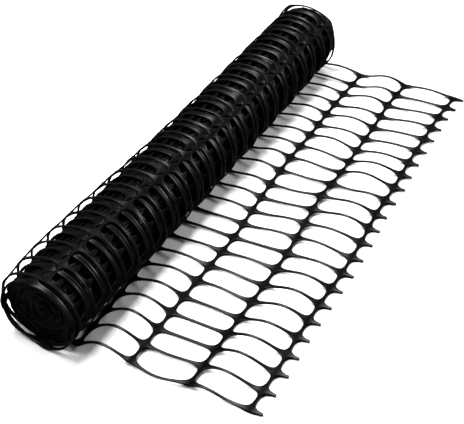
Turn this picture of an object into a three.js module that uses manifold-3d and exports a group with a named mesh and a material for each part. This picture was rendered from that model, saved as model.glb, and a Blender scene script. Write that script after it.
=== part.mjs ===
// A roll of plastic barrier mesh, lying on the floor with its loose end pulled out.
// Millimetres, +Z up. The roll's axis runs along X and the loose end lies towards -Y.
// The origin is on the floor, under the middle strand, on the line where the net leaves the roll.
// The net is one sheet. A point on it is given as [across, along]: across from its middle strand,
// and along from the origin, positive into the roll and negative towards the cut end.

import * as THREE from 'three';
import Module from 'manifold-3d';

// The net
const WIDTH = 1010;
const CELLS_ACROSS = 22;
const BAR_PITCH = 109;
const BAR_WIDTH = 6.5;
const STRAND_WIDTH = 3.4;
const EDGE_KNOT = 3.2;
const NET_THICKNESS = 2.4;
const STUB_LENGTH = 23;
const BARS_IN_LOOSE_END = 4;
const BARS_IN_OUTER_TURN = 4;

// An opening is a superellipse, with blunt round ends and nearly straight sides.
const END_POWER = 2.8;
const SIDE_POWER = 8;
const SIDE_STATIONS = [-0.95, -0.78, -0.5, -0.17, 0.17, 0.5, 0.78, 0.95];
const LEAST_STEP = 0.05;

// The roll
const ROLL_RADIUS = 75;
const FLOOR_SQUASH = 1.5;
const AXIS_HEIGHT = ROLL_RADIUS - FLOOR_SQUASH;
const SKEW = THREE.MathUtils.degToRad(1.56);
const LAP = 4;
const CORE_LAP = 10;
const FIRST_CORE_GAP = 1;
const CORE_GAP = 2;
const CORE_START = 0.93;
const CORE_END = 7.4;
const CORE_STEPS_A_TURN = 24;
const CORE_COVER = 0.3;
const CORE_SLACK = 0.15;
const PATH_STEPS = 240;

// Where the net is parted into its wound and its loose length
const FIRST_BAR = -29.4;
const PARTING_FROM_BAR = 22;
const PARTING = FIRST_BAR + PARTING_FROM_BAR;
const PARTING_GAP = 0.3;
const ROWS_IN_OUTER_TURN = 4.72;
const WOUND_END = FIRST_BAR + ROWS_IN_OUTER_TURN * BAR_PITCH;
const LOOSE_START = FIRST_BAR - (BARS_IN_LOOSE_END - 1) * BAR_PITCH - STUB_LENGTH;

// How far the slack outer turn stands off the roll, in degrees round from the floor by way of the
// back: at the tight end of the roll, along its slack half, and at the edge of that half.
const SLACK = [
  { angle: 0, tightEnd: 0, slackEnd: 0, slackEdge: 0 },
  { angle: 20, tightEnd: 3, slackEnd: 5, slackEdge: 5 },
  { angle: 40, tightEnd: 14, slackEnd: 15, slackEdge: 20 },
  { angle: 57, tightEnd: 18, slackEnd: 23.5, slackEdge: 28 },
  { angle: 80, tightEnd: 12, slackEnd: 27, slackEdge: 21 },
  { angle: 100, tightEnd: 5, slackEnd: 23, slackEdge: 15 },
  { angle: 115, tightEnd: 2, slackEnd: 15, slackEdge: 10 },
  { angle: 125, tightEnd: 1.5, slackEnd: 9, slackEdge: 7 },
  { angle: 135, tightEnd: 1, slackEnd: 4, slackEdge: 4 },
  { angle: 150, tightEnd: 0.5, slackEnd: 1, slackEdge: 1 },
  { angle: 187, tightEnd: 0.5, slackEnd: 0.5, slackEdge: 0.5 },
  { angle: 240, tightEnd: 0, slackEnd: 0, slackEdge: 0 },
  { angle: 360, tightEnd: 0, slackEnd: 0, slackEdge: 0 },
];
const SLACK_FROM = -430;
const SLACK_TO = 100;
const EDGE_ZONE = 85;

// How far the wound net has wandered along the axis towards the slack end, by its length into the roll.
const DRIFT = [
  { along: 0, drift: 0 },
  { along: 220, drift: 16 },
  { along: 450, drift: 19 },
  { along: 900, drift: 28 },
];

// How the loose end lies, from edge to edge. Counted from the roll: the lift of each crossbar, the bow of
// the strands above the floor between crossbars, and how far those of the second row swing sideways.
// slip is how far the crossbars have slid along.
const LIE = [
  { across: -500, lift1: 7, lift2: 5, lift3: 0, bow1: 18, bow2: 0, bow3: 2, swing2: -12, slip: 3 },
  { across: -409, lift1: 1, lift2: 0, lift3: 0, bow1: 22, bow2: 1, bow3: 15, swing2: 0, slip: 0 },
  { across: -318, lift1: 0, lift2: 0, lift3: 0, bow1: 15, bow2: 2, bow3: 14, swing2: 0, slip: -1 },
  { across: -227, lift1: 0, lift2: 0, lift3: 0, bow1: 8, bow2: 3, bow3: 15, swing2: 0, slip: -3 },
  { across: -136, lift1: 0, lift2: 1, lift3: 0, bow1: 2, bow2: 0, bow3: 7, swing2: 0, slip: -6 },
  { across: -45, lift1: 0, lift2: 4, lift3: 0, bow1: 5, bow2: 2, bow3: 9, swing2: 0, slip: -2 },
  { across: 45, lift1: 0, lift2: 7, lift3: 0, bow1: 6, bow2: 0, bow3: 10, swing2: -5, slip: 3 },
  { across: 136, lift1: 1, lift2: 2, lift3: 2, bow1: 8, bow2: 3, bow3: 14, swing2: 0, slip: 1 },
  { across: 227, lift1: 1, lift2: 0, lift3: 2, bow1: 6, bow2: 11, bow3: 9, swing2: 0, slip: 1 },
  { across: 318, lift1: 0, lift2: 0, lift3: 3, bow1: 9, bow2: 12, bow3: 3, swing2: 0, slip: 0 },
  { across: 409, lift1: 0, lift2: 0, lift3: 2, bow1: 8, bow2: 10, bow3: 2, swing2: 0, slip: -2 },
  { across: 500, lift1: 0, lift2: 0, lift3: 0, bow1: 8, bow2: 12, bow3: 6, swing2: 0, slip: -7 },
];
const BOW_POWER = 1.5;

const STRAND_PITCH = (WIDTH - 2 * EDGE_KNOT - STRAND_WIDTH) / CELLS_ACROSS;
const HALF_OPENING = (STRAND_PITCH - STRAND_WIDTH) / 2;
const HALF_LENGTH = (BAR_PITCH - BAR_WIDTH) / 2;
const FIRST_STRAND = -STRAND_PITCH * CELLS_ACROSS / 2;

const wasm = await Module();
wasm.setup();

const blackPlastic = new THREE.MeshStandardMaterial({ color: 0x131314, roughness: 0.42, metalness: 0 });

// A smooth value from a table's column, at a place along its key.
function read(table, key, place, column) {
  const last = table.length - 1;
  const inside = THREE.MathUtils.clamp(place, table[0][key], table[last][key]);
  let row = 0;
  while (row < last - 1 && table[row + 1][key] < inside) row++;
  const share = (inside - table[row][key]) / (table[row + 1][key] - table[row][key]);
  return THREE.MathUtils.lerp(table[row][column], table[row + 1][column], share * share * (3 - 2 * share));
}

// The net's flat outline

// Half the width of an opening, as a share of its widest, at a share of its half length.
const fullness = (share) => Math.pow(1 - Math.pow(Math.abs(share), SIDE_POWER), 1 / END_POWER);

const openingMiddle = (cell) => FIRST_STRAND + (cell + 0.5) * STRAND_PITCH;

// The edge of the net swells round each edge knot.
const edgeAt = (share) => WIDTH / 2 - EDGE_KNOT * fullness(share);

// A length of flat net as points and faces, cut across its strands at both ends. Each strand is a
// row of short faces, and each knot joins a strand to its crossbar.
function flatNet(start, end, firstBar, barCount) {
  const points = [];
  const faces = [];
  const point = (across, along) => points.push(new THREE.Vector2(across, along)) - 1;
  const rowMiddle = (row) => firstBar + (row - 0.5) * BAR_PITCH;
  const startShare = (start - rowMiddle(0)) / HALF_LENGTH;
  const endShare = (end - rowMiddle(barCount)) / HALF_LENGTH;

  const strands = [];
  for (let row = 0; row <= barCount; row++) {
    let shares = SIDE_STATIONS;
    if (row === 0) shares = [startShare, ...shares.filter((s) => s > startShare + LEAST_STEP)];
    if (row === barCount) shares = [...shares.filter((s) => s < endShare - LEAST_STEP), endShare];
    strands.push([]);
    for (let strand = 0; strand <= CELLS_ACROSS; strand++) {
      const pairs = shares.map((share) => {
        const along = rowMiddle(row) + share * HALF_LENGTH;
        const half = HALF_OPENING * fullness(share);
        const left = strand === 0 ? -edgeAt(share) : openingMiddle(strand - 1) + half;
        const right = strand === CELLS_ACROSS ? edgeAt(share) : openingMiddle(strand) - half;
        return [point(left, along), point(right, along)];
      });
      for (let i = 1; i < pairs.length; i++) {
        faces.push([pairs[i - 1][0], pairs[i - 1][1], pairs[i][1], pairs[i][0]]);
      }
      strands[row].push(pairs);
    }
  }

  for (let bar = 0; bar < barCount; bar++) {
    const along = firstBar + bar * BAR_PITCH;
    let [lastLow, lastHigh] = [point(-WIDTH / 2, along), null];
    for (let strand = 0; strand <= CELLS_ACROSS; strand++) {
      const [lowLeft, lowRight] = strands[bar][strand].at(-1);
      const [highLeft, highRight] = strands[bar + 1][strand][0];
      const isLast = strand === CELLS_ACROSS;
      const nextLow = isLast ? point(WIDTH / 2, along) : point(openingMiddle(strand), along - BAR_WIDTH / 2);
      const nextHigh = isLast ? null : point(openingMiddle(strand), along + BAR_WIDTH / 2);
      faces.push([lastLow, lowLeft, highLeft, lastHigh].filter((corner) => corner !== null));
      faces.push([lowLeft, lowRight, highRight, highLeft]);
      faces.push([lowRight, nextLow, nextHigh, highRight].filter((corner) => corner !== null));
      [lastLow, lastHigh] = [nextLow, nextHigh];
    }
  }
  return { points, faces };
}

// The way the net takes: flat on the floor, then round the roll

// The wound radius after so many turns, where each turn lies on the one outside it.
function layerPitch(turn) {
  return THREE.MathUtils.lerp(LAP, CORE_LAP, THREE.MathUtils.clamp(turn - 1, 0, 1));
}

function woundRadius(turn) {
  return turn <= 1 ? ROLL_RADIUS - LAP * turn : woundRadius(turn - 1) - layerPitch(turn - 1);
}

function slackAt(angle, across) {
  const slackEnd = 1 - THREE.MathUtils.smoothstep(across, SLACK_FROM, SLACK_TO);
  const slackEdge = 1 - THREE.MathUtils.smoothstep(across, -WIDTH / 2, EDGE_ZONE - WIDTH / 2);
  const inside = THREE.MathUtils.lerp(
    read(SLACK, 'angle', angle, 'tightEnd'), read(SLACK, 'angle', angle, 'slackEnd'), slackEnd);
  return THREE.MathUtils.lerp(inside, read(SLACK, 'angle', angle, 'slackEdge'), slackEdge);
}

// A point [y, z] round the roll. Each layer is pressed flat where it meets what it lies on.
function woundPoint(turn, radius, bottom) {
  const angle = turn * 2 * Math.PI;
  return new THREE.Vector2(radius * Math.sin(angle),
    Math.max(bottom, AXIS_HEIGHT - radius * Math.cos(angle)));
}

// The outer turn's section at one place across the net, with the length of net used up to each point.
const turnCache = new Map();
function outerTurn(across) {
  const name = across.toFixed(2);
  if (!turnCache.has(name)) {
    const points = [];
    const used = [0];
    for (let step = 0; step <= PATH_STEPS; step++) {
      const turn = step / PATH_STEPS;
      const radius = woundRadius(turn) + slackAt(turn * 360, across);
      points.push(woundPoint(turn, radius, ROLL_RADIUS - woundRadius(turn)));
      if (step > 0) used.push(used[step - 1] + points[step].distanceTo(points[step - 1]));
    }
    turnCache.set(name, { points, used });
  }
  return turnCache.get(name);
}

// How far a point of the loose end lies from its place on a flat floor.
function loosePlace(across, along) {
  const bars = (FIRST_BAR - along) / BAR_PITCH;
  const row = THREE.MathUtils.clamp(Math.floor(bars) + 1, 1, BARS_IN_LOOSE_END - 1);
  const share = THREE.MathUtils.clamp(bars - row + 1, 0, 1);
  const arch = Math.pow(Math.sin(Math.PI * share), BOW_POWER);
  const strand = FIRST_STRAND + Math.round((across - FIRST_STRAND) / STRAND_PITCH) * STRAND_PITCH;
  const lift = (bar) => (bar === 0 ? 0 : read(LIE, 'across', across, `lift${bar}`));
  return new THREE.Vector3(
    row === 2 ? read(LIE, 'across', strand, 'swing2') * arch : 0,
    read(LIE, 'across', across, 'slip') * THREE.MathUtils.clamp(bars, 0, 1),
    THREE.MathUtils.lerp(lift(row - 1), lift(row), share) + read(LIE, 'across', strand, `bow${row}`) * arch);
}

// The loose end leaves the roll at a small angle, and the wound length wanders along the axis.
const drift = (along) => (along < 0 ? Math.sin(SKEW) * along : read(DRIFT, 'along', along, 'drift'));

// The place in space of a point on the net, at a depth into its thickness from its outer face.
function place(across, along, depth) {
  const x = across * Math.cos(SKEW) - drift(along);
  const travelled = across * Math.sin(SKEW) + along * Math.cos(SKEW);
  if (travelled <= 0) return loosePlace(across, along).add(new THREE.Vector3(x, travelled, depth));
  const { points, used } = outerTurn(across);
  let step = 1;
  while (step < PATH_STEPS && used[step] < travelled) step++;
  const share = (travelled - used[step - 1]) / (used[step] - used[step - 1]);
  const point = points[step - 1].clone().lerp(points[step], share);
  const tangent = points[step].clone().sub(points[step - 1]).normalize();
  return new THREE.Vector3(x, point.x - tangent.y * depth, point.y + tangent.x * depth);
}

// Solids

function indexed(corners, index) {
  const geometry = new THREE.BufferGeometry();
  geometry.setAttribute('position', new THREE.Float32BufferAttribute(corners, 3));
  geometry.setIndex(index);
  return geometry;
}

// A length of net with its thickness, laid along its way: its outer face, its inner face, and a wall
// along each edge that belongs to one face only.
function laidNet(start, end, firstBar, barCount) {
  const { points, faces } = flatNet(start, end, firstBar, barCount);
  const count = points.length;
  const corners = [];
  for (const depth of [0, NET_THICKNESS]) {
    for (const point of points) corners.push(...place(point.x, point.y, depth).toArray());
  }
  const index = [];
  const rims = new Map();
  for (const face of faces) {
    for (let i = 2; i < face.length; i++) {
      index.push(face[0], face[i], face[i - 1]);
      index.push(face[0] + count, face[i - 1] + count, face[i] + count);
    }
    face.forEach((from, i) => {
      const to = face[(i + 1) % face.length];
      if (!rims.delete(`${to} ${from}`)) rims.set(`${from} ${to}`, [from, to]);
    });
  }
  for (const [from, to] of rims.values()) {
    index.push(from, to, to + count, from, to + count, from + count);
  }
  return indexed(corners, index);
}

// The turns inside the outer one, as one thick strip wound into a spiral with a gap between its laps.
// They are flush at the slack end, where the first of them is a little slack as well.
function woundCore() {
  const corners = [];
  const index = [];
  const steps = Math.round((CORE_END - CORE_START) * CORE_STEPS_A_TURN);
  const half = WIDTH / 2 * Math.cos(SKEW);
  let along = outerTurn(0).used[Math.round(CORE_START * PATH_STEPS)];
  for (let step = 0; step <= steps; step++) {
    const turn = CORE_START + step / CORE_STEPS_A_TURN;
    const outer = woundRadius(turn) + CORE_COVER;
    const gap = THREE.MathUtils.lerp(FIRST_CORE_GAP, CORE_GAP, THREE.MathUtils.clamp(turn - 1, 0, 1));
    const inner = outer - layerPitch(turn) + gap;
    const slack = turn > 1 && turn < 2 ? CORE_SLACK * slackAt((turn - 1) * 360, -half) : 0;
    along += step > 0 ? outer * 2 * Math.PI / CORE_STEPS_A_TURN : 0;
    for (const [radius, extra] of [[outer, slack], [inner, 0]]) {
      const near = woundPoint(turn, radius + extra, ROLL_RADIUS - radius);
      const far = woundPoint(turn, radius, ROLL_RADIUS - radius);
      corners.push(-half - DRIFT.at(-1).drift, near.x, near.y, half - drift(along), far.x, far.y);
    }
    if (step === 0) continue;
    const [now, then] = [step * 4, step * 4 - 4];
    for (const [a, b] of [[1, 0], [3, 1], [2, 3], [0, 2]]) {
      index.push(then + a, then + b, now + b, then + a, now + b, now + a);
    }
  }
  const last = steps * 4;
  index.push(0, 3, 2, 0, 1, 3, last, last + 3, last + 1, last, last + 2, last + 3);
  return indexed(corners, index);
}

// Closed geometries joined into one.
function joined(...geometries) {
  const solids = geometries.map((geometry) => new wasm.Manifold(new wasm.Mesh({
    numProp: 3,
    vertProperties: new Float32Array(geometry.getAttribute('position').array),
    triVerts: new Uint32Array(geometry.getIndex().array),
  })));
  const mesh = solids.reduce((whole, solid) => whole.add(solid)).getMesh();
  return indexed(mesh.vertProperties, Array.from(mesh.triVerts));
}

function piece(name, geometry) {
  geometry.computeVertexNormals();
  const mesh = new THREE.Mesh(geometry, blackPlastic);
  mesh.name = name;
  return mesh;
}

const outerTurnNet = laidNet(PARTING + PARTING_GAP, WOUND_END, FIRST_BAR + BAR_PITCH, BARS_IN_OUTER_TURN);
const looseNet = laidNet(LOOSE_START, PARTING, FIRST_BAR - (BARS_IN_LOOSE_END - 1) * BAR_PITCH,
  BARS_IN_LOOSE_END);

const meshRoll = new THREE.Group();
meshRoll.add(piece('roll', joined(woundCore(), outerTurnNet)));
meshRoll.add(piece('loose_end', looseNet));

export default meshRoll;
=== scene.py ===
# %% [markdown]
# # A roll of barrier mesh
#
# The object is a net of black plastic, one metre wide, wound into a roll that lies on its side. One end
# of the net is pulled out over the floor. A net like this starts as a plastic sheet with rows of holes,
# which is then stretched: the material between the holes draws out into long thin strands, and what
# isn't drawn stays behind as thicker knots and crossbars.
#
# The lesson makes lengths of that net flat, each as a grid with its openings cut away. It then bends
# them all along one path: flat over the floor, under the roll, and round and round to the middle.

# %% The frame
import math

import bmesh
import bpy
import numpy as np
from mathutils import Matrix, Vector


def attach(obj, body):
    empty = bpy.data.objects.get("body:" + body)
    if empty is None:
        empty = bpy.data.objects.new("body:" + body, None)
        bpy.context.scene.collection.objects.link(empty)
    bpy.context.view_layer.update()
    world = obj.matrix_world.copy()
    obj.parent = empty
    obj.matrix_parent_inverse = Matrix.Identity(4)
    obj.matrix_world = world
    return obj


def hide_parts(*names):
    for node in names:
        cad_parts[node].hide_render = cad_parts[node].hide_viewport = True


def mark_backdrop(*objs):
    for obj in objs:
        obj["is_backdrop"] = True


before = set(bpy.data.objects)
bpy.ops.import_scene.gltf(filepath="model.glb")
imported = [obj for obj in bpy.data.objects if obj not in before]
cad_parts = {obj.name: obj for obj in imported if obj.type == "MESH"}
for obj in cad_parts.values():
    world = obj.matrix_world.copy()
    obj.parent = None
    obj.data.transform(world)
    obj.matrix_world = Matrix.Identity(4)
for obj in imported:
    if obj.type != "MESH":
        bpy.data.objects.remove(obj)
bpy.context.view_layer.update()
MM = 0.001
print("solids:", sorted(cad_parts))

# %% [markdown]
# ## The camera
#
# The camera comes first, because every later choice is looked at through it. The knots of the flat net
# form a regular grid, so a camera can be fitted to them: it stands to the left and in front of the
# roll, well above it, with a longish lens. A lens is given here as a focal length in pixels, turned
# into Blender's millimetres.

# %% The camera
PHOTO_WIDTH = 464
FOCAL_PIXELS = 1145.5
SENSOR_WIDTH = 36.0
CAMERA_PLACE = Vector((-1.5688, -0.9142, 1.3765))
CAMERA_TARGET = Vector((-0.0660, -0.1086, 0.0))

camera_data = bpy.data.cameras.new("camera")
camera_data.sensor_fit = "HORIZONTAL"
camera_data.sensor_width = SENSOR_WIDTH
camera_data.lens = SENSOR_WIDTH * FOCAL_PIXELS / PHOTO_WIDTH
camera = bpy.data.objects.new("camera", camera_data)
camera.location = CAMERA_PLACE
camera.rotation_euler = (CAMERA_TARGET - CAMERA_PLACE).to_track_quat("-Z", "Y").to_euler()
bpy.context.scene.collection.objects.link(camera)
bpy.context.scene.camera = camera
print(f"camera: {camera_data.lens:.1f} mm lens, {(CAMERA_TARGET - CAMERA_PLACE).length:.2f} m away")

# %% [markdown]
# ## The sizes of the net
#
# The net's width, its number of openings and the distance between its crossbars are those of the
# solids. Its strands, knots and crossbars have sizes of their own here, because they get round edges
# and a thickness that changes from place to place. A point on the net has two numbers: how far across
# it lies from the middle strand, and how far along it lies from the line where the net leaves the roll.
# Along is positive into the roll and negative towards the cut end. Near and far are always meant as
# seen from the camera.

# %% The sizes of the net
WIDTH = 1010 * MM
CELLS_ACROSS = 22
MIDDLE_STRAND = CELLS_ACROSS // 2
STRAND_WIDTH = 4.6 * MM
EDGE_KNOT = 2.6 * MM
STRAND_PITCH = (WIDTH - 2 * EDGE_KNOT - STRAND_WIDTH) / CELLS_ACROSS
BAR_PITCH = 109 * MM
BAR_WIDTH = 5.2 * MM
FIRST_BAR = -29.4 * MM
LOOSE_BARS = 4
KNOT_HALF = 2.3 * MM
print(f"strands every {STRAND_PITCH / MM:.1f} mm, crossbars every {BAR_PITCH / MM:.0f} mm")

# %% [markdown]
# ## How the crossbars lie on the floor
#
# A net that has been wound up never lies quite flat, and its knots slide a little out of line. A cloth
# simulation could let it fall, but it would fall its own way. So the crossbars in front of the roll
# follow a table in millimetres, with a row for every second strand, from the near edge of the net to
# the far one. Its values were measured: knots were listed in the photograph, a program took them
# through the camera to the floor, and some values were changed afterwards.

# %% How the crossbars lie on the floor
# sway across, slip along and lift of the first, second and third crossbar in front of the roll
LIE = np.array([
    ((1, 1, 6), (1, 1, 4), (-2, 1, 0)),
    ((0, 1, 0), (0, 0, 0), (-2, -2, 0)),
    ((-2, 0, 0), (-7, -2, 0), (-4, 0, 0)),
    ((-1, -3, 0), (-3, -4, 0), (-5, -2, 0)),
    ((0, -7, 0), (3, -5, 1), (-3, -6, 0)),
    ((-5, -2, 0), (0, 0, 4), (1, -5, 0)),
    ((-6, 2, 0), (1, 5, 6), (-2, 0, 0)),
    ((-1, 3, 1), (1, 0, 1), (1, -2, 2)),
    ((1, -1, 1), (-7, 1, 0), (0, 1, 2)),
    ((-3, -1, 0), (-6, 0, 0), (1, 0, 3)),
    ((-4, -4, 0), (-4, 4, 0), (1, 0, 2)),
    ((-6, -9, 0), (-3, -3, 0), (-4, -6, 0)),
]) * MM
print(f"furthest slip: {abs(LIE[:, :, 1]).max() / MM:.0f} mm")

# %% [markdown]
# ## How the strands arch
#
# Between two crossbars a drawn strand is a little too long, so it stands up in an arch or has fallen
# over sideways. Each arch is half a sine wave, slightly narrowed, and some lean: they are higher
# towards the roll or away from it. The second table has a row for every strand, from the near edge to
# the far one, in millimetres.
#
# This table was measured too. A program tried many arches for each strand and kept the one that lay
# best on it in the photograph. Two pairs were changed afterwards.

# %% How the strands arch
# for each of the three rows in front of the roll: how high a strand arches, or has fallen sideways
# where that is below zero, and how much it leans towards the roll
ARCHES = np.array([
    ((19, 3), (-14, -2), (2, 6)),
    ((22, 2), (-3, -2), (11, 4)),
    ((23, 0), (1, 0), (16, 3)),
    ((19, 0), (0, 0), (16, 2)),
    ((15, -2), (2, 0), (14, 0)),
    ((13, -2), (5, 2), (16, -2)),
    ((8, 0), (3, 2), (15, -2)),
    ((3, -2), (4, 0), (12, -2)),
    ((2, 0), (0, 0), (7, -2)),
    ((1, -2), (3, -2), (8, 2)),
    ((5, -2), (2, -3), (9, 0)),
    ((6, -3), (-2, 0), (11, -4)),
    ((6, -4), (-6, 2), (10, -4)),
    ((10, -3), (-2, 3), (2, -6)),
    ((8, -6), (3, 3), (15, 2)),
    ((7, -3), (5, 2), (14, 0)),
    ((6, -4), (12, 0), (9, 0)),
    ((9, -3), (8, -2), (5, 0)),
    ((9, -4), (12, -2), (3, 0)),
    ((7, -4), (7, -3), (4, -2)),
    ((8, -2), (11, -4), (2, -2)),
    ((4, 0), (9, -6), (2, 0)),
    ((9, -2), (13, -4), (7, 0)),
]) * MM
ARCH_POWER = 1.3
# a fallen arch reaches sideways a little less far than it would have stood high
SWING_SHARE = 0.9
print(f"highest arch: {ARCHES.max() / MM:.0f} mm")

# %% [markdown]
# ## The place of the loose end
#
# Now both tables can be read at any point of the net. Between two crossbars the place of a point is a
# mix of theirs, with the arch on top. The net also leaves the roll at a small angle, and near the
# camera the crossbar at the roll's foot has slid out a little, so that part of the net is pulled along.

# %% The place of the loose end
SKEW = math.radians(1.56)
FOOT_SLIP = -7 * MM
FOOT_FROM, FOOT_TO = -420 * MM, -200 * MM


def eased(value, low, high):
    """A smooth step from 0 at low to 1 at high."""
    share = np.clip((value - low) / (high - low), 0, 1)
    return share * share * (3 - 2 * share)


def loose_offset(across, along):
    """How far points of the loose end lie from their places on a flat floor, as x, y and z."""
    bars = (FIRST_BAR - along) / BAR_PITCH
    row = np.clip(np.floor(bars).astype(int), 0, LOOSE_BARS - 2)
    share = np.clip(bars - row, 0, 1)
    strand = across / STRAND_PITCH + MIDDLE_STRAND
    table_strands = np.arange(len(LIE)) * 2.0
    moves = np.zeros((3, LOOSE_BARS, len(across)))
    for bar in range(1, LOOSE_BARS):
        for axis in range(3):
            moves[axis, bar] = np.interp(strand, table_strands, LIE[:, bar - 1, axis])
    foot = -across * math.tan(SKEW)
    before_foot = np.clip((foot - along) / (foot - FIRST_BAR), 0, 1)
    moves[1, 0] = FOOT_SLIP * before_foot * (1 - eased(across, FOOT_FROM, FOOT_TO))
    points = np.arange(len(across))
    x, y, z = moves[:, row, points] * (1 - share) + moves[:, row + 1, points] * share
    nearest = np.clip(np.rint(strand).astype(int), 0, CELLS_ACROSS)
    arch, lean = ARCHES[nearest, row].T
    rise = np.sin(np.pi * share) ** ARCH_POWER
    x += np.minimum(arch, 0) * SWING_SHARE * rise
    z += np.maximum(np.maximum(arch, 0) * rise + lean * np.sin(2 * np.pi * share), 0)
    return x, y, z


near_edge, first_row = np.array([[-WIDTH / 2], [FIRST_BAR - BAR_PITCH / 2]])
print(f"near edge of the first row: {loose_offset(near_edge, first_row)[2][0] / MM:.0f} mm off the floor")

# %% [markdown]
# ## The slack of the outer turn
#
# Seen from its end, the wound net is a spiral. Its outer turn has gone slack: it stands off the roll at
# the back, most of all in the near half. The turns inside it are a little out of round there too, less
# and less towards the middle. The table follows the outer turn once round the roll.

# %% The slack of the outer turn
# degrees round from the floor by way of the back, and how far the outer turn stands off there, in
# millimetres: at the far end, along the near half and at the near edge. The last column is for the
# second turn at that edge.
FAR, NEAR, EDGE, SECOND_AT_EDGE = 1, 2, 3, 4
SLACK = np.array([
    (0, 0, 0, 0, 0),
    (20, 3, 5, 5, 4),
    (40, 14, 15, 20, 12),
    (57, 18, 23.5, 28, 11),
    (80, 12, 27, 21, 0),
    (100, 5, 23, 15, 0),
    (115, 2, 15, 10, 0),
    (125, 1.2, 9, 7, 0),
    (135, 0.8, 4, 3.5, 0),
    (150, 0.5, 0.8, 0.8, 0),
    (187, 0, 0, 0, 0),
    (240, 0, 0, 0, 0),
    (302, 3, 2, 0, 0),
    (345, 0.5, 0, 0, 0),
    (360, 0, 0, 0, 0),
])
# how much of far, near and edge slack is left in the first, the second and all later turns
SLACK_LEFT = np.array([(1, 1, 1), (0.25, 0.08, 0), (0, 0, 0)])
# the share of the near half's slack by which the inner turns are out of round, at the far end, along
# the near half and at the near edge, and the number of turns over which that dies away
OUT_OF_ROUND = (0, 0.35, 0.21)
ROUND_AFTER = 14
print(f"most slack: {SLACK[:, FAR:].max():.0f} mm")

# %% [markdown]
# ## The spirals
#
# Blender's own tool for winding up a net is the Curve modifier, but one curve can't be slack at one end
# of the roll and tight at the other. So the spiral is worked out at a number of places from the far end
# to the near edge, each as a dense row of points with the length of net used up to each point. A point
# of the net then finds its place by that length. Being out of round isn't counted in the length, so it
# leaves the crossbars where they were.
#
# The inner turns lie closer than the net is thick, because the strands of one sink between those of the
# next.

# %% The spirals
ROLL_RADIUS = 75 * MM
# the roll's own weight presses its foot flat by this much
FLOOR_SQUASH = 1.5 * MM
AXIS_HEIGHT = ROLL_RADIUS - FLOOR_SQUASH
TURNS = 66.5
SAMPLES_A_TURN = 180
SPIRAL_COUNT = 13
# turns from the outside, and the distance to the next turn there, in millimetres
LAPS = np.array([(0, 2.2), (1.2, 2.2), (1.5, 0.5), (2.2, 0.5), (2.6, 2.5), (3.4, 2.5), (3.8, 1), (70, 1)])


def smooth_table(table, places, column):
    """A column of a table, read at places along its first column, with an easy curve between rows."""
    row = np.clip(np.searchsorted(table[:, 0], places, side="right") - 1, 0, len(table) - 2)
    share = eased(places, table[row, 0], table[row + 1, 0])
    return table[row, column] * (1 - share) + table[row + 1, column] * share


def path_round(turn, tight, stand):
    """A path that stands off a tight spiral: lengths used, points and inward directions."""
    y = (tight + stand) * np.sin(2 * np.pi * turn)
    z = np.maximum(ROLL_RADIUS - tight, AXIS_HEIGHT - (tight + stand) * np.cos(2 * np.pi * turn))
    heading = np.array([np.gradient(y), np.gradient(z)])
    in_z, in_y = heading / np.hypot(*heading) * np.array([[1], [-1]])
    steps = np.hypot(np.diff(y + KNOT_HALF * in_y), np.diff(z + KNOT_HALF * in_z))
    return np.concatenate([[0], np.cumsum(steps)]), y, z, in_y, in_z


def spiral(place):
    """The spiral at a place from 0, the far end, by way of 1, the near half, to 2, the near edge."""
    turn = np.linspace(0, TURNS, int(TURNS * SAMPLES_A_TURN))
    degrees = turn % 1 * 360
    laps = np.interp(turn, LAPS[:, 0], LAPS[:, 1]) * MM
    tight = ROLL_RADIUS - np.concatenate([[0], np.cumsum(laps[1:] * np.diff(turn))])
    whole_turn = np.minimum(turn.astype(int), len(SLACK_LEFT) - 1)
    shares = [max(0.0, 1 - abs(place - own_place)) for own_place in range(3)]
    stand = shares[-1] * (whole_turn == 1) * smooth_table(SLACK, degrees, SECOND_AT_EDGE) * MM
    for column, share in zip((FAR, NEAR, EDGE), shares):
        left = SLACK_LEFT[whole_turn, column - FAR]
        stand += share * left * smooth_table(SLACK, degrees, column) * MM
    used = path_round(turn, tight, stand)[0]
    fading = np.clip(1 - (turn - 1) / ROUND_AFTER, 0, 1) * (turn >= 1)
    stand += np.interp(place, range(3), OUT_OF_ROUND) * fading * smooth_table(SLACK, degrees, NEAR) * MM
    return used, turn, *path_round(turn, tight, stand)[1:]


SPIRALS = [spiral(place) for place in np.linspace(0, 2, SPIRAL_COUNT)]
WOUND_LENGTH = SPIRALS[0][0][-1]
print(f"wound length: {WOUND_LENGTH:.2f} m in {TURNS} turns")

# %% [markdown]
# ## What makes the turns uneven
#
# On a roll like this no two strands lie alike. Each is twisted a little between its knots, so that it
# catches the light at its own angle, and the knots are tilted. The strands also wave in and out by half
# a millimetre or so. At the far edge the outer turn stands off a few millimetres, because nothing holds
# its last strand down.
#
# Random numbers could do this, but sines whose phase jumps from strand to strand look just as
# irregular, are smooth along a strand and come out the same on every run.

# %% What makes the turns uneven
# radians a metre along the net, radians from one strand to the next, and height as a share
WAVES_INWARD = ((53, 3.12, 1),)
WAVE_INWARD = 0.35 * MM
WAVE_STARTS = 60 * MM
TWIST = math.tan(math.radians(18))
KNOT_TILT = math.tan(math.radians(12))
KNOT_HALF_WIDTH = 8 * MM
# how fast the tilt dies away from a crossbar
TILT_POWER = 4
# radians from one strand to the next, and from one row or crossbar to the next
TWIST_PHASES = (1.9, 2.7)
TILT_PHASES = (3.1, 1.3)
# how far the far edge stands off, in a zone along it, and the turns between which it does
FAR_LIFT = 5 * MM
FAR_ZONE = 40 * MM
FAR_LIFT_FROM, FAR_LIFT_TO = 0.3, 0.95


def waves(table, along, strand):
    """A sum of waves along the strands."""
    return sum(share * np.sin(rate * along + phase * strand) for rate, phase, share in table)


def turned(phases, strand, row):
    """How far a strand or a knot is turned, from -1 to 1."""
    return np.sin(phases[0] * strand + phases[1] * row)


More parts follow.
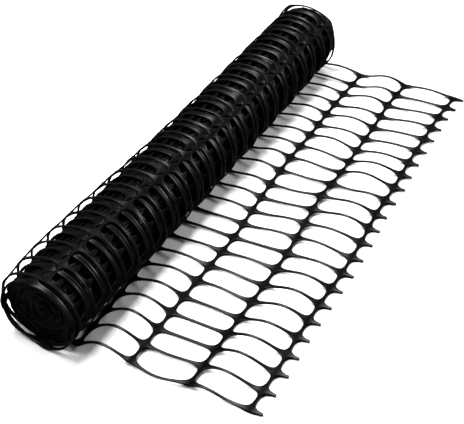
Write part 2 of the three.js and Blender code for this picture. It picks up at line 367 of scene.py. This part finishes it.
def uneven_depth(across, along, strand, travelled):
    """How much deeper into the roll points of the wound net lie than their spiral."""
    bars = (along - FIRST_BAR) / BAR_PITCH
    between_bars = np.sin(np.pi * bars) ** 2
    aside = across - strand * STRAND_PITCH
    deeper = WAVE_INWARD * eased(along, 0, WAVE_STARTS) * (waves(WAVES_INWARD, along, strand) + 1)
    deeper += TWIST * turned(TWIST_PHASES, strand, np.floor(bars)) * between_bars * aside
    tilt = KNOT_TILT * turned(TILT_PHASES, strand, np.rint(bars)) * (1 - between_bars) ** TILT_POWER
    deeper += tilt * np.clip(aside, -KNOT_HALF_WIDTH, KNOT_HALF_WIDTH)
    turns = travelled / (2 * np.pi * ROLL_RADIUS)
    lifted = np.clip((turns - FAR_LIFT_FROM) / (FAR_LIFT_TO - FAR_LIFT_FROM), 0, 1)
    return deeper - FAR_LIFT * np.sin(np.pi * lifted) * eased(across, WIDTH / 2 - FAR_ZONE, WIDTH / 2)


print(f"strands twist by up to {math.degrees(math.atan(TWIST)):.0f} degrees")

# %% [markdown]
# ## How the turns wander along the roll
#
# Nobody winds a net so that its edges stay in line. The outer turns wander towards the near end by a
# few centimetres, and the inner ones only swing by a few millimetres. So their strands lie nearly under
# each other, and through an opening one looks down on a stack of crossbars that show as a ladder of
# fine rungs. In the far half one row of the outer turn has been pushed sideways between its crossbars,
# so its strands are bowed.

# %% How the turns wander along the roll
# turns from the outside, and how far the net has wandered towards the near end by then, in millimetres
DRIFT = np.array([
    (0, 0),
    (0.25, 7),
    (0.5, 17),
    (0.7, 18),
    (0.9, 21),
    (1, 24),
    (1.3, 25),
    (1.5, 34),
    (1.85, 35),
    (2.1, 29),
    (2.7, 28),
    (3.1, 15),
])
# the swing of the turns beyond the table: millimetres, swings a turn and radians
DRIFT_SWING = 3
DRIFT_RATE = 0.37
DRIFT_PHASE = 2.8
# radians a metre along the net, radians from one strand to the next, and height as a share
WAVES_ACROSS = ((41, 2.4, 1), (67, -4.08, 0.6))
WAVE_ACROSS = 0.9 * MM
# the row that is bowed, how far, and the places across the net where that begins and is complete
BOWED_ROW = 3
BOW = 9 * MM
BOW_FROM, BOW_TO = -150 * MM, 60 * MM


def side_step(across, along, strand, turn):
    """How far points of the wound net lie from their places along the roll's axis."""
    swing = DRIFT_SWING * eased(turn, *DRIFT[-2:, 0]) * np.sin(2 * np.pi * DRIFT_RATE * turn + DRIFT_PHASE)
    drift = (smooth_table(DRIFT, turn, 1) + swing) * MM
    bars = (along - FIRST_BAR) / BAR_PITCH
    bowed = (np.floor(bars) == BOWED_ROW) * eased(across, BOW_FROM, BOW_TO)
    wave = WAVE_ACROSS * eased(along, 0, WAVE_STARTS) * waves(WAVES_ACROSS, along, strand)
    return wave - drift - BOW * bowed * np.abs(np.sin(np.pi * bars))


print(f"furthest the net wanders: {DRIFT[:, 1].max():.0f} mm")

# %% [markdown]
# ## From the flat net to its place
#
# One function takes every point of a flat net to its place in space. A point also has a height,
# measured from the middle of the net's thickness. On the loose end it becomes a height above the floor,
# and on the wound part a depth into the roll. A point between two of the worked-out spirals gets a mix
# of both.

# %% From the flat net to its place
# across the net, the near half's slack changes to the far end's between these places
SLACK_FROM, SLACK_TO = -430 * MM, 100 * MM
# and to the near edge's in a zone along that edge
EDGE_ZONE = 85 * MM


def wound_place(across, along, travelled, depth):
    """The places in space of points of the wound net, at a depth from the outer face of its knots."""
    strand = np.rint(across / STRAND_PITCH)
    depth = depth + uneven_depth(across, along, strand, travelled)
    place = 2 - eased(across, SLACK_FROM, SLACK_TO) - eased(across, -WIDTH / 2, EDGE_ZONE - WIDTH / 2)
    turn, y, z = np.zeros((3, len(across)))
    for step, (used, turns, path_y, path_z, in_y, in_z) in enumerate(SPIRALS):
        share = np.clip(1 - np.abs(place / 2 * (SPIRAL_COUNT - 1) - step), 0, 1)
        turn += share * np.interp(travelled, used, turns)
        y += share * (np.interp(travelled, used, path_y) + depth * np.interp(travelled, used, in_y))
        z += share * (np.interp(travelled, used, path_z) + depth * np.interp(travelled, used, in_z))
    x = across * math.cos(SKEW) + side_step(across, along, strand, turn)
    return np.stack([x, y, z], axis=1)


def laid(flat):
    """The places in space of an array of flat net points: across, along, height."""
    across, along, height = flat.T
    travelled = across * math.sin(SKEW) + along * math.cos(SKEW)
    depth = KNOT_HALF + height
    x, y, z = loose_offset(across, along)
    out = np.stack([
        across * math.cos(SKEW) - along * math.sin(SKEW) + x, travelled + y, depth + z], axis=1)
    wound = travelled > 0
    if wound.any():
        out[wound] = wound_place(across[wound], along[wound], travelled[wound], depth[wound])
    return out


print("under the middle strand:", laid(np.array([[0.0, 0.0, -KNOT_HALF]])).round(4).tolist())

# %% [markdown]
# ## The lines of the flat net
#
# The net could be drawn strand by strand, but then the strands would have to be joined to the crossbars
# afterwards. Instead each length starts as one grid. Across the net it has a line on each side of every
# strand and one through the middle of every opening. Along the net it has a line through every crossbar
# and a few over each opening, more of them towards its round corners. A grade says how many, and
# whether a strand also has a line along its middle, which lets it be rounded.

# %% The lines of the flat net
HALF_LENGTH = (BAR_PITCH - BAR_WIDTH) / 2
# a second line this close to a cut, as a share of half a row, keeps it square when it is rounded
CUT_SUPPORT = 0.03
LEFT, CENTRE, RIGHT, OPENING = -1, 0, 1, 2
# the columns of a strand, its lines between two crossbars as shares of half an opening's length, and
# its rounding
FINE = {
    "columns": (LEFT, CENTRE, RIGHT, OPENING),
    "stations": (-0.993, -0.965, -0.91, -0.8, -0.58, -0.2, 0.2, 0.58, 0.8, 0.91, 0.965, 0.993),
    "rounded": True,
}
PLAIN = {
    "columns": (LEFT, RIGHT, OPENING),
    "stations": (-0.95, -0.72, -0.25, 0.25, 0.72, 0.95),
    "rounded": False,
}
TIGHT = {
    "columns": (LEFT, RIGHT, OPENING),
    "stations": (-0.98, -0.86, -0.7, -0.5, -0.3, -0.1, 0.1, 0.3, 0.5, 0.7, 0.86, 0.98),
    "rounded": False,
}


def lines_along(start, end, stations):
    """The grid's lines: the middle of a row and a share of its half length, or a crossbar and None."""
    first_bar = FIRST_BAR + math.ceil((start - FIRST_BAR) / BAR_PITCH) * BAR_PITCH
    bar_count = int((end - first_bar) // BAR_PITCH) + 1
    lines = []
    for row in range(bar_count + 1):
        middle = first_bar + (row - 0.5) * BAR_PITCH
        shares = list(stations)
        if row == 0:
            cut = (start - middle) / HALF_LENGTH
            shares = [cut, cut + CUT_SUPPORT] + [s for s in shares if s > cut + 2 * CUT_SUPPORT]
        if row == bar_count:
            cut = (end - middle) / HALF_LENGTH
            shares = [s for s in shares if s < cut - 2 * CUT_SUPPORT] + [cut - CUT_SUPPORT, cut]
        lines += [(middle, share) for share in shares]
        if row < bar_count:
            lines.append((first_bar + row * BAR_PITCH, None))
    return lines


print("lines on one row of a fine net:", len(FINE["stations"]) + 1)

# %% [markdown]
# ## The points of the flat net
#
# The lines cross at points, and this step says where each point goes. The sides of a strand swing
# outwards towards a crossbar, along a superellipse, so that the opening gets its round corners and the
# knot its hollow sides. The net is thickest in the knots, thinner along the strands and thinnest at the
# edges of a crossbar. A point also remembers how much of a knot it is, for the finish.

# %% The points of the flat net
HALF_OPENING = (STRAND_PITCH - STRAND_WIDTH) / 2
# the powers of the opening's superellipse
END_POWER = 2.8
SIDE_POWER = 8
# how far a knot reaches out along its crossbar, and where along its half length a strand starts to swell
KNOT_REACH = 0.34 * HALF_OPENING
SWELL_FROM = 0.72
# half the net's thickness, in the middle and at the sides of a strand, a knot and a crossbar
STRAND_HALF, STRAND_SIDE = 1.4 * MM, 1.3 * MM
KNOT_SIDE = 2.0 * MM
BAR_HALF, BAR_SIDE = 2.0 * MM, 0.9 * MM


def fullness(share):
    """Half the width of an opening, as a share of its widest, at a share of its half length."""
    return max(0.0, 1 - abs(share) ** SIDE_POWER) ** (1 / END_POWER)


def net_point(strand, column, middle, share):
    """A grid point's place, half the net's thickness there, and how much of a knot it is."""
    centre = (strand - MIDDLE_STRAND) * STRAND_PITCH
    on_bar = share is None
    if column == OPENING:
        along = middle if on_bar else middle + math.copysign(HALF_LENGTH, share)
        return centre + STRAND_PITCH / 2, along, BAR_HALF if on_bar else BAR_SIDE, 1.0
    along = middle if on_bar else middle + share * HALF_LENGTH
    swell = 1.0 if on_bar else max(0.0, (abs(share) - SWELL_FROM) / (1 - SWELL_FROM))
    if column == CENTRE:
        return centre, along, STRAND_HALF + (KNOT_HALF - STRAND_HALF) * swell, swell
    flare = KNOT_REACH if on_bar else HALF_OPENING * (1 - fullness(share))
    at_edge = column * (strand - MIDDLE_STRAND) == MIDDLE_STRAND
    if at_edge:
        flare = min(flare, EDGE_KNOT)
    half = STRAND_SIDE + (KNOT_SIDE - STRAND_SIDE) * swell * (1 - flare / HALF_OPENING)
    return centre + column * (STRAND_WIDTH / 2 + flare), along, half, swell


print(f"openings of {2 * HALF_OPENING / MM:.1f} x {2 * HALF_LENGTH / MM:.1f} mm")

# %% [markdown]
# ## Cutting and thickening
#
# Now the grid becomes a net. The faces inside the openings are deleted, which leaves the strands and
# crossbars already joined, and the points move to their places. One extrusion of all the faces gives
# the net its thickness. The rim of every opening is creased, so that a Subdivision Surface leaves the
# strands flat on top, with soft edges, instead of turning them into round wires.

# %% Cutting and thickening
RIM_CREASE = 0.7
# a face is a top or a bottom if its normal points up or down by more than this
LEVEL_FROM = 0.5


def flat_net(start, end, grade):
    """A bmesh of a flat length of net with its thickness, as points of across, along and height."""
    lines = lines_along(start, end, grade["stations"])
    columns = [(strand, column) for strand in range(CELLS_ACROSS + 1) for column in grade["columns"]][:-1]
    x_count, y_count = len(columns) - 1, len(lines) - 1
    bm = bmesh.new()
    bmesh.ops.create_grid(bm, x_segments=x_count, y_segments=y_count, size=0.5)
    openings = []
    for face in bm.faces:
        middle = face.calc_center_median()
        column, line = int((middle.x + 0.5) * x_count), int((middle.y + 0.5) * y_count)
        beside_strand = OPENING in (columns[column][1], columns[column + 1][1])
        off_bar = lines[line][1] is not None and lines[line + 1][1] is not None
        if beside_strand and off_bar:
            openings.append(face)
    bmesh.ops.delete(bm, geom=openings, context="FACES")
    half = bm.verts.layers.float.new("half")
    knot = bm.verts.layers.float.new("knot")
    for vertex in bm.verts:
        column = round((vertex.co.x + 0.5) * x_count)
        line = round((vertex.co.y + 0.5) * y_count)
        across, along, vertex[half], vertex[knot] = net_point(*columns[column], *lines[line])
        vertex.co = (across, along, 0)
    made = bmesh.ops.extrude_face_region(bm, geom=bm.faces[:])
    upper = {item for item in made["geom"] if isinstance(item, bmesh.types.BMVert)}
    for vertex in bm.verts:
        vertex.co.z = vertex[half] if vertex in upper else -vertex[half]
    bmesh.ops.recalc_face_normals(bm, faces=bm.faces[:])
    crease = bm.edges.layers.float.new("crease_edge")
    for edge in bm.edges:
        level = [abs(face.normal.z) > LEVEL_FROM for face in edge.link_faces]
        if any(level) and not all(level):
            edge[crease] = RIM_CREASE
    return bm


sample = flat_net(0, 2 * BAR_PITCH, FINE)
print("a sample of flat net:", len(sample.verts), "points,", len(sample.faces), "faces")
sample.free()

# %% [markdown]
# ## A length of net as a piece
#
# The real net is one sheet. Here it is made as five lengths, so that each can have as many faces as it
# needs. Each keeps its flat place as a UV map before it is bent, so that a finish can follow the
# strands wherever they go. A fine length gets a Subdivision Surface with smooth shading. The other
# grades keep square strands and flat shading, and take far fewer faces.
#
# A length's rectangle, as it lies flat, is mostly openings: plastic covers a bit less than a third of it.

# %% A length of net as a piece
NET_SHARE = 0.305


def net_piece(name, start, end, grade, node):
    """A length of net from start to end, laid in its place and rounded."""
    bm = flat_net(start, end, grade)
    uv = bm.loops.layers.uv.new("flat")
    for face in bm.faces:
        face.smooth = grade["rounded"]
        for loop in face.loops:
            loop[uv].uv = loop.vert.co.xy
    mesh = bpy.data.meshes.new(name)
    bm.to_mesh(mesh)
    bm.free()
    points = np.empty(len(mesh.vertices) * 3, np.float32)
    mesh.vertices.foreach_get("co", points)
    placed = laid(points.reshape(-1, 3).astype(float))
    mesh.vertices.foreach_set("co", placed.astype(np.float32).ravel())
    mesh.update()
    piece = bpy.data.objects.new(name, mesh)
    bpy.context.scene.collection.objects.link(piece)
    if grade["rounded"]:
        rounding = piece.modifiers.new("rounding", "SUBSURF")
        rounding.levels = rounding.render_levels = 1
    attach(piece, "root")
    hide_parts(node)
    size = (WIDTH, end - start)
    NET_SHARE * size[0] * size[1]
    print(f"{name}: {size[1]:.2f} m of net, {len(mesh.polygons)} faces")
    return piece


def after(bar):
    """The middle of the row of openings after a crossbar of the wound length."""
    return FIRST_BAR + (bar + 0.5) * BAR_PITCH


print(f"plastic in a metre of net: {NET_SHARE * WIDTH:.2f} square metres")

# %% [markdown]
# ## The loose end and the outer turn
#
# The loose end lies in front of the roll, cut through its strands just past the last crossbar, so that
# they end in a row of spikes. It is seen closest and against white, so it is fine. So is the outer
# turn, whose slack net stands out against white at the back. The two are parted under the roll, where
# the solids are parted too.

# %% The loose end and the outer turn
STUB_LENGTH = 23 * MM
PARTING = FIRST_BAR + 22 * MM
LAST_BAR = FIRST_BAR - (LOOSE_BARS - 1) * BAR_PITCH
OUTER_BARS = 5

loose_end = net_piece(
    "loose_end_net", LAST_BAR - STUB_LENGTH, PARTING, FINE, "loose_end")
outer_turn = net_piece(
    "outer_turn", PARTING, after(OUTER_BARS), FINE, "roll")

# %% [markdown]
# ## The turns inside the roll
#
# The next turns show through the outer one, with their strands side by side with its own, so they are
# fine too. Deeper in, only thin slices of the net are seen, through the openings and at the ends of the
# roll, and there are very many of them, so they are plain. In the core the net bends so sharply that
# plain strands would look like straight sticks. There the lines are set closer together.

# %% The turns inside the roll
MIDDLE_BARS = 13
INNER_BARS = 118
INNER_END = WOUND_LENGTH - 30 * MM

middle_turns = net_piece(
    "middle_turns", after(OUTER_BARS), after(MIDDLE_BARS), FINE, "roll")
inner_turns = net_piece(
    "inner_turns", after(MIDDLE_BARS), after(INNER_BARS), PLAIN, "roll")
core_turns = net_piece(
    "core_turns", after(INNER_BARS), INNER_END, TIGHT, "roll")

# %% [markdown]
# ## Shader maths
#
# A material is a graph of nodes. Written out node by node, a short sum fills a page, so one small class
# wraps a socket: sums on it add Math nodes, and its node method adds any other kind of node.

# %% Shader maths


class Wire:
    """A socket of a material, with maths, and a way to add nodes beside it."""

    def __init__(self, tree, socket=None):
        self.tree, self.socket = tree, socket

    def node(self, kind, settings=None, sockets=None, output=0):
        """A new node with its settings, then its socket values or links, as a wire from one output."""
        made = self.tree.nodes.new(kind)
        for name, value in (settings or {}).items():
            setattr(made, name, value)
        for name, value in (sockets or {}).items():
            if isinstance(value, Wire):
                self.tree.links.new(value.socket, made.inputs[name])
            else:
                made.inputs[name].default_value = value
        return Wire(self.tree, None if output is None else made.outputs[output])

    def maths(self, operation, first, second):
        """A Math node on two wires or values."""
        return self.node("ShaderNodeMath", {"operation": operation}, {0: first, 1: second})

    def __add__(self, other):
        return self.maths("ADD", self, other)

    def __sub__(self, other):
        return self.maths("SUBTRACT", self, other)

    def __rsub__(self, other):
        return self.maths("SUBTRACT", other, self)

    def __mul__(self, other):
        return self.maths("MULTIPLY", self, other)

    __radd__ = __add__
    __rmul__ = __mul__


print("maths on wires:", [name for name in vars(Wire) if name.startswith("__r")])

# %% [markdown]
# ## Black polyethylene
#
# The plastic is coloured black right through. Along the strands it has been drawn out, which leaves it
# smooth and slightly streaked: the lighter streaks in its colour are partly whitening of the drawn
# plastic and partly a painted sheen. A thin, uneven coat stands for that skin, and its soft sheen is
# what makes the strands show grey on the black roll. The knots and crossbars weren't drawn as far: they
# are dull, with a faintly pebbled skin, and they are what rubs on the ground, so they carry a little dust.
#
# The streaks follow the flat UV map, so they run along every strand. The pebbles and the dust don't
# care how the plastic was drawn, so they use Object coordinates.

# %% Black polyethylene
BLACK = (0.0015, 0.0015, 0.0016, 1)
# the streaks' lighter colour is partly whitening of the drawn plastic and partly a painted sheen
STREAKED_AND_SHEEN = (0.004, 0.004, 0.0043, 1)
DUSTY = (0.004, 0.004, 0.0039, 1)
# streaks a metre across and along the net, and pebbles and patches a metre, with their noises' detail
FIBRE_GRID = (800, 22, 1)
FIBRE_DETAIL = 2.0
PEBBLES = 280.0
PATCHES = 38.0
SKIN_DETAIL = 4.0
STREAK_AND_SHEEN_FROM, STREAK_AND_SHEEN_TO = 0.5, 0.8
DUST_FROM, DUST_TO = 0.42, 0.75
STRAND_DUST, KNOT_DUST = 0.55, 0.45
DUST_COVER = 0.6
# the roughness of a clean strand, and what a knot, a patch and dust add to it
STRAND_ROUGHNESS = 0.35
KNOT_ROUGHER, PATCH_ROUGHER, DUST_ROUGHER = 0.15, 0.14, 0.1
NOISE_AVERAGE = 0.5
SHEEN = 0.008
# the coat's strength and roughness, the share of it that a knot lacks, and its even and patchy parts
COAT = 0.42
COAT_ROUGHNESS = 0.31
DULL_KNOT = 0.96
COAT_EVEN, COAT_PATCHY = 0.2, 0.6
RELIEF_DEPTH = 0.4 * MM
RELIEF_STRENGTH = 0.35
FIBRE_RELIEF = 0.6
STRAND_PEBBLES, KNOT_PEBBLES = 0.2, 1.3
OBJECT_OUTPUT, FACTOR_OUTPUT, COLOUR_OUTPUT = 3, 2, 2


def black_polyethylene():
    """The net's plastic, streaked with whitening and a painted sheen and shiny along the strands, dull and
    dusty on the knots.
    """
    material = bpy.data.materials.new("black_polyethylene")
    material.use_nodes = True
    tree = material.node_tree
    tree.nodes.clear()
    wire = Wire(tree)
    flat = wire.node("ShaderNodeUVMap", {"uv_map": "flat"})
    solid = wire.node("ShaderNodeTexCoord", output=OBJECT_OUTPUT)
    knot = wire.node("ShaderNodeAttribute", {"attribute_name": "knot"}, output=FACTOR_OUTPUT)

    fibre_grid = wire.node("ShaderNodeMapping", sockets={"Vector": flat, "Scale": FIBRE_GRID})
    fibres = wire.node("ShaderNodeTexNoise", sockets={
        "Vector": fibre_grid, "Scale": 1.0, "Detail": FIBRE_DETAIL})
    pebbles = wire.node("ShaderNodeTexNoise", sockets={
        "Vector": solid, "Scale": PEBBLES, "Detail": SKIN_DETAIL})
    patches = wire.node("ShaderNodeTexNoise", sockets={
        "Vector": solid, "Scale": PATCHES, "Detail": SKIN_DETAIL})

    dust = wire.node("ShaderNodeMapRange", sockets={
        "Value": patches * (STRAND_DUST + KNOT_DUST * knot), "From Min": DUST_FROM, "From Max": DUST_TO})
    streak_and_sheen = wire.node("ShaderNodeMapRange", sockets={
        "Value": fibres, "From Min": STREAK_AND_SHEEN_FROM, "From Max": STREAK_AND_SHEEN_TO})
    # lighter streaks along the strands: whitening of the drawn plastic, and partly a painted sheen
    drawn_and_sheen = wire.node("ShaderNodeMix", {"data_type": "RGBA"},
                      {"Factor": streak_and_sheen * (1 - knot), "A": BLACK, "B": STREAKED_AND_SHEEN}, output=COLOUR_OUTPUT)
    colour = wire.node("ShaderNodeMix", {"data_type": "RGBA"},
                       {"Factor": dust * DUST_COVER, "A": drawn_and_sheen, "B": DUSTY}, output=COLOUR_OUTPUT)
    skin = STRAND_ROUGHNESS + KNOT_ROUGHER * knot + PATCH_ROUGHER * (patches - NOISE_AVERAGE)
    roughness = skin + DUST_ROUGHER * dust
    coat = COAT * (1 - DULL_KNOT * knot) * (COAT_EVEN + COAT_PATCHY * patches + fibres)
    relief = fibres * (1 - knot) * FIBRE_RELIEF + pebbles * (STRAND_PEBBLES + KNOT_PEBBLES * knot)
    normal = wire.node("ShaderNodeBump", sockets={
        "Height": relief, "Strength": RELIEF_STRENGTH, "Distance": RELIEF_DEPTH})
    surface = wire.node("ShaderNodeBsdfPrincipled", sockets={
        "Base Color": colour, "Roughness": roughness, "Normal": normal, "Specular IOR Level": SHEEN,
        "Coat Weight": coat, "Coat Roughness": COAT_ROUGHNESS})
    wire.node("ShaderNodeOutputMaterial", sockets={"Surface": surface}, output=None)
    return material


plastic = black_polyethylene()
for piece in (loose_end, outer_turn, middle_turns, inner_turns, core_turns):
    piece.data.materials.append(plastic)
print("finish:", plastic.name, len(plastic.node_tree.nodes), "nodes")

# %% [markdown]
# ## The floor
#
# The floor is plain and almost white. It is hidden from glossy rays: a white floor would be mirrored in
# the sides of all the strands and turn the black plastic grey.

# %% The floor
FLOOR_SIZE = 8.0
FLOOR_DROP = 0.3 * MM
FLOOR_COLOUR = (0.85, 0.85, 0.85, 1)
FLOOR_ROUGHNESS = 0.8


def plain_floor():
    """A flat floor just under the net, declared as part of the stage."""
    bm = bmesh.new()
    bmesh.ops.create_grid(bm, x_segments=2, y_segments=2, size=FLOOR_SIZE / 2)
    bmesh.ops.translate(bm, verts=bm.verts[:], vec=(0, 0, -FLOOR_DROP))
    mesh = bpy.data.meshes.new("floor")
    bm.to_mesh(mesh)
    bm.free()
    material = bpy.data.materials.new("white_floor")
    material.use_nodes = True
    shader = material.node_tree.nodes["Principled BSDF"]
    shader.inputs["Base Color"].default_value = FLOOR_COLOUR
    shader.inputs["Roughness"].default_value = FLOOR_ROUGHNESS
    mesh.materials.append(material)
    floor = bpy.data.objects.new("floor", mesh)
    floor.visible_glossy = False
    bpy.context.scene.collection.objects.link(floor)
    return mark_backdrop(floor)


plain_floor()
print(f"floor: {FLOOR_SIZE:.0f} m wide")

# %% [markdown]
# ## The light
#
# Black plastic shows its form by what it mirrors, so the lights are placed for their reflections and
# their shadows. A broad light, high behind the near half, throws a soft shadow forwards onto the start
# of the loose end. A long strip, over the far half and out past it, is mirrored in the flat tops of the
# strands along the top of the roll. A weaker light, lower down at the front on the right, opens up the
# front of the roll. Those without an aim shine straight down. A faint even sky fills the rest.

# %% The light
SKY_STRENGTH = 0.13
LIGHTS = {
    "broad_light": {
        "place": (-0.75, 0.6, 2.0), "size": 1.5, "depth": 1.2, "power": 70.0, "aim": None},
    "strip_light": {
        "place": (0.95, 0.17, 1.75), "size": 2.2, "depth": 0.5, "power": 57.0, "aim": None},
    "side_light": {
        "place": (1.3, -1.5, 1.0), "size": 1.2, "depth": 0.8, "power": 33.0, "aim": (0, 0, 0)},
}


def soft_light(name, place, size, depth, power, aim):
    """A rectangular light of a size along and a depth across, facing its aim or straight down."""
    data = bpy.data.lights.new(name, "AREA")
    data.shape, data.size, data.size_y, data.energy = "RECTANGLE", size, depth, power
    light = bpy.data.objects.new(name, data)
    light.location = place
    if aim is not None:
        light.rotation_euler = (Vector(aim) - Vector(place)).to_track_quat("-Z", "Y").to_euler()
    bpy.context.scene.collection.objects.link(light)


for name, settings in LIGHTS.items():
    soft_light(name, **settings)
world = bpy.data.worlds.new("sky")
world.use_nodes = True
world.node_tree.nodes["Background"].inputs["Color"].default_value = (1, 1, 1, 1)
world.node_tree.nodes["Background"].inputs["Strength"].default_value = SKY_STRENGTH
bpy.context.scene.world = world
bpy.context.scene.view_settings.view_transform = "Standard"
print("lights:", list(LIGHTS))

# %% [markdown]
